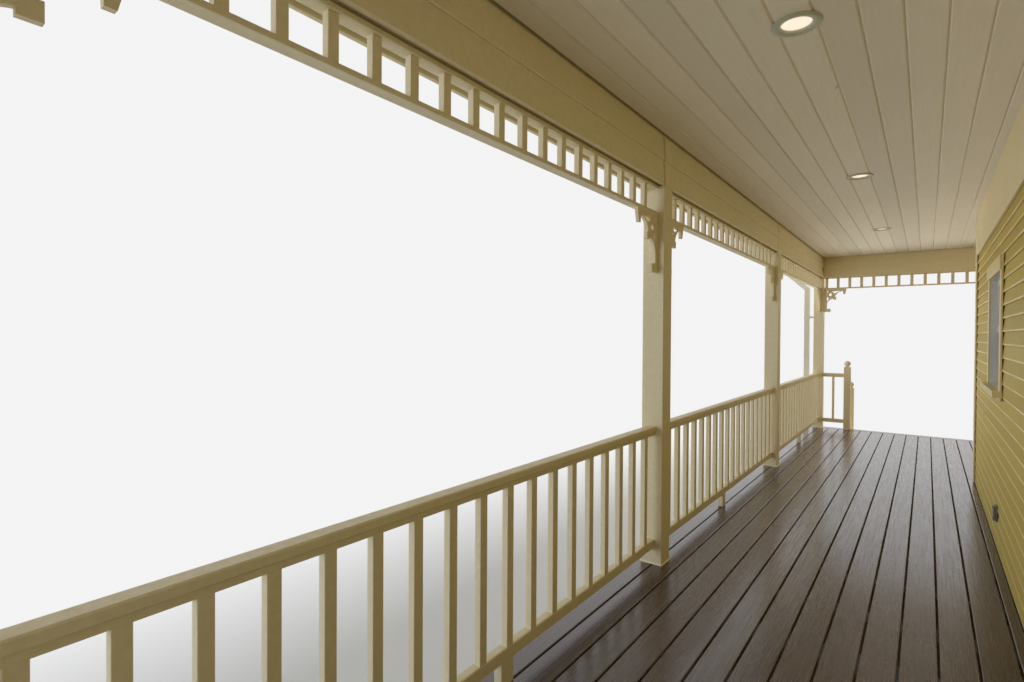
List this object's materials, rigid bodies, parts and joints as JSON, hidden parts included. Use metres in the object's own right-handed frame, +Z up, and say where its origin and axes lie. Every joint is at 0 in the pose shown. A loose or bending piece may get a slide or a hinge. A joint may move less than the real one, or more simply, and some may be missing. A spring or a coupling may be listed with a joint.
{
  "type": "front porch",
  "caption": "Long railed house porch under a lean-to roof, with slatted frieze, scroll brackets, a deeper end bay with steps, on a piece of the house's sided wall.",
  "frame": {"origin": "middle of the bounding box at ground level, under the deck", "axes": "+X along the porch from its closed near end to the steps, +Y from the house wall out to the gutter, +Z up"},
  "size_m": [11.179, 3.55, 4.3663],
  "materials": {
    "concrete": "cast concrete",
    "bare_wood": "sawn softwood",
    "deck_stain": "semi-gloss stain",
    "trim_paint": "satin paint",
    "ceiling_paint": "satin paint over boards",
    "siding_paint": "satin paint",
    "shingles": "mineral granules",
    "white_metal": "satin paint",
    "light_plastic": "satin",
    "sash_plastic": "satin",
    "outlet_plastic": "satin",
    "window_glass": "clear, dark room behind"
  },
  "bodies": {
    "root": {"footings": "concrete", "rim_joists": "bare_wood", "floor_joists": "bare_wood", "deck": "deck_stain", "post_1": "trim_paint", "post_2": "trim_paint", "post_3": "trim_paint", "post_4": "trim_paint", "wall_posts": "trim_paint", "front_beam": "trim_paint", "end_beams": "trim_paint", "frieze_1": "trim_paint", "frieze_2": "trim_paint", "frieze_3": "trim_paint", "end_friezes": "trim_paint", "front_brackets": "trim_paint", "end_brackets": "trim_paint", "railing_1": "trim_paint", "railing_2": "trim_paint", "railing_3": "trim_paint", "railing_near": "trim_paint", "railing_far": "trim_paint", "newels": "trim_paint", "stair_posts": "trim_paint", "stair_railings": "trim_paint", "stair_stringers": "bare_wood", "stair_treads": "deck_stain", "stair_risers": "trim_paint", "ceiling": "ceiling_paint", "ceiling_lights": "light_plastic", "rafters": "bare_wood", "roof_slab": "shingles", "roof_ends": "siding_paint", "soffit": "trim_paint", "fascia": "trim_paint", "gutter": "white_metal", "downspout": "white_metal", "front_wall": "siding_paint", "return_wall": "siding_paint", "recess_wall": "siding_paint", "wall_trim": "trim_paint", "window_casing": "trim_paint", "window_sashes": "sash_plastic", "window_glass": "window_glass", "outlet_cover": "outlet_plastic"}
  },
  "joints": []
}
